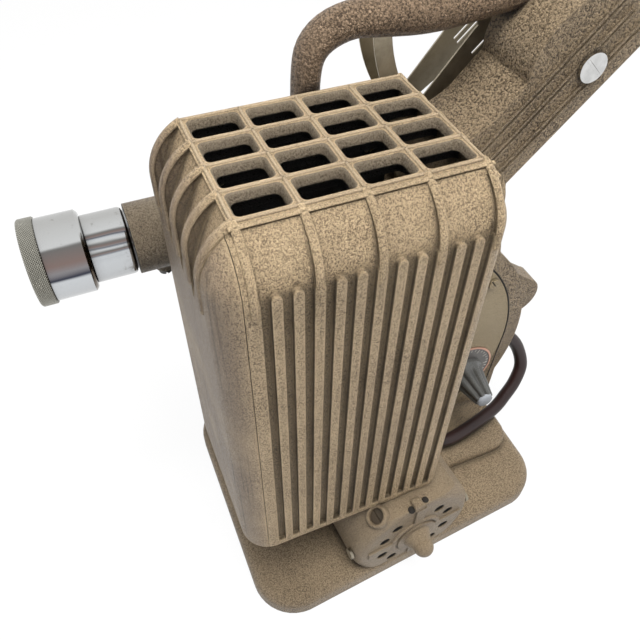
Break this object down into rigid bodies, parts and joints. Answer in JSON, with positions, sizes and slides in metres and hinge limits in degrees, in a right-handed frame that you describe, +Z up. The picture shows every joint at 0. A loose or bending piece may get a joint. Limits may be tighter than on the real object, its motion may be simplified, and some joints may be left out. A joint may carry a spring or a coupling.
{
  "type": "movie projector",
  "caption": "Small-gauge film projector: ribbed lamp house with a grid top, chromed lens in a sliding gate, sloping reel arm, carrying handle, belt drive and motor on a cast base.",
  "frame": {"origin": "on the underside of the base, below the grid's far edge and the motor's side, where the mount base_rest lies", "axes": "+X across the machine towards the lamp house, -Y along the lens's aim, +Z up"},
  "size_m": [0.1839, 0.3568, 0.4045],
  "materials": {
    "bronze_wrinkle": "wrinkle enamel",
    "brown_wrinkle": "wrinkle enamel",
    "felt": "matte",
    "screw_steel": "satin",
    "chrome": "polished",
    "bright_steel": "satin",
    "optical_glass": "polished",
    "mirror": "polished",
    "brass": "satin",
    "black_plastic": "semi-gloss",
    "dial_grey": "satin",
    "dark_metal": "matte",
    "machined_steel": "machined",
    "fan_metal": "satin",
    "belt": "matte",
    "reel_metal": "satin",
    "insulator": "matte",
    "lead_rubber": "satin"
  },
  "bodies": {
    "machine": {"base": "bronze_wrinkle", "base_pad": "felt", "base_screws": "screw_steel", "main_frame": "bronze_wrinkle", "body_housing": "bronze_wrinkle", "housing_cover": "bronze_wrinkle", "cover_screws": "screw_steel", "carrying_handle": "brown_wrinkle", "arm_cap_screw": "chrome", "lamp_house_shell": "bronze_wrinkle", "house_screws": "screw_steel", "lamp_bulb": "optical_glass", "lamp_base": "brass", "lamp_socket": "black_plastic", "lamp_bracket": "bright_steel", "reflector": "mirror", "condenser_barrel": "bright_steel", "condenser_lenses": "optical_glass", "light_mirror": "mirror", "mechanism_housing": "bronze_wrinkle", "mechanism_cover": "bronze_wrinkle", "shaft_bracket": "bronze_wrinkle", "gate_plate": "bright_steel", "guide_rods": "screw_steel", "takeup_belt": "belt", "motor_end_bell": "bronze_wrinkle", "motor_housing": "bronze_wrinkle", "fan_housing": "bronze_wrinkle", "motor_stator": "dark_metal", "brush_cap": "black_plastic", "bell_screws": "screw_steel", "drive_belt": "belt", "gear_cover": "bronze_wrinkle", "sprocket_shoes": "machined_steel", "dial_plate": "dial_grey", "rheostat": "insulator", "power_inlet": "black_plastic", "motor_lead": "lead_rubber"},
    "motor_rotor": {"motor_armature": "machined_steel", "cooling_fan": "fan_metal", "motor_pulley": "machined_steel"},
    "main_drive": {"main_shaft": "machined_steel"},
    "shutter": {"shutter_disc": "dark_metal", "shutter_shaft": "dark_metal"},
    "upper_drive": {"upper_sprocket": "machined_steel"},
    "lower_drive": {"lower_sprocket": "machined_steel"},
    "supply": {"supply_spindle": "bright_steel", "supply_reel": "reel_metal"},
    "supply_latch_body": {"supply_latch": "screw_steel"},
    "takeup": {"takeup_spindle": "bright_steel"},
    "takeup_latch_body": {"takeup_latch": "screw_steel"},
    "gate_carrier": {"lens_carrier": "bronze_wrinkle", "pressure_plate": "bright_steel"},
    "lens": {"lens_barrel": "chrome", "lens_ring": "bright_steel", "lens_glass": "optical_glass"},
    "lock_screw": {"lens_lock_screw": "black_plastic"},
    "film_claw": {"claw": "screw_steel"},
    "side_cover": {"ribbed_cover": "bronze_wrinkle"},
    "knob": {"control_knob": "black_plastic"}
  },
  "joints": [
    {"name": "motor_spin", "type": "hinge", "parent": "machine", "child": "motor_rotor", "pos_m": [0, -0.007, 0.0405], "axis": [1, 0, 0], "continuous": true},
    {"name": "main_spin", "type": "hinge", "parent": "machine", "child": "main_drive", "pos_m": [-0.05, 0.018, 0.19], "axis": [1, 0, 0], "continuous": true},
    {"name": "shutter_spin", "type": "hinge", "parent": "machine", "child": "shutter", "pos_m": [-0.066, -0.02, 0.203], "axis": [0, 1, 0], "continuous": true},
    {"name": "upper_sprocket_spin", "type": "hinge", "parent": "machine", "child": "upper_drive", "pos_m": [-0.05, 0.018, 0.2236], "axis": [1, 0, 0], "continuous": true},
    {"name": "lower_sprocket_spin", "type": "hinge", "parent": "machine", "child": "lower_drive", "pos_m": [-0.05, 0.018, 0.1564], "axis": [1, 0, 0], "continuous": true},
    {"name": "supply_spin", "type": "hinge", "parent": "machine", "child": "supply", "pos_m": [-0.06, 0.09349, 0.31546], "axis": [1, 0, 0], "continuous": true},
    {"name": "supply_latch_turn", "type": "hinge", "parent": "supply", "child": "supply_latch_body", "pos_m": [-0.0746, 0.09349, 0.31546], "axis": [0, 1, 0], "range_deg": [0, 90]},
    {"name": "takeup_spin", "type": "hinge", "parent": "machine", "child": "takeup", "pos_m": [-0.06, 0.1245, 0.107], "axis": [1, 0, 0], "continuous": true},
    {"name": "takeup_latch_turn", "type": "hinge", "parent": "takeup", "child": "takeup_latch_body", "pos_m": [-0.07885, 0.1245, 0.107], "axis": [0, 1, 0], "range_deg": [0, 90]},
    {"name": "gate_slide", "type": "slide", "parent": "machine", "child": "gate_carrier", "axis": [0, -1, 0], "range_m": [0, 0.007]},
    {"name": "lens_lock_turn", "type": "hinge", "parent": "gate_carrier", "child": "lock_screw", "pos_m": [-0.062, -0.10963, 0.19], "axis": [0, 0, -1], "range_deg": [0, 360]},
    {"name": "focus_slide", "type": "slide", "parent": "gate_carrier", "child": "lens", "axis": [0, -1, 0], "range_m": [-0.0005, 0.012]},
    {"name": "claw_slide", "type": "slide", "parent": "machine", "child": "film_claw", "axis": [0, 0, -1], "range_m": [0, 0.0076]},
    {"name": "cover_slide", "type": "slide", "parent": "machine", "child": "side_cover", "axis": [1, 0, 0], "range_m": [0, 0.06]},
    {"name": "control_knob_turn", "type": "hinge", "parent": "machine", "child": "knob", "pos_m": [0, 0.07047, 0.0785], "axis": [1, 0, 0], "range_deg": [0, 270]}
  ],
  "couplings": [
    {"joint": "main_spin", "follows": "motor_spin", "ratio": 0.33333},
    {"joint": "shutter_spin", "follows": "motor_spin", "ratio": 0.33333},
    {"joint": "upper_sprocket_spin", "follows": "motor_spin", "ratio": -0.055556},
    {"joint": "lower_sprocket_spin", "follows": "motor_spin", "ratio": -0.055556}
  ]
}
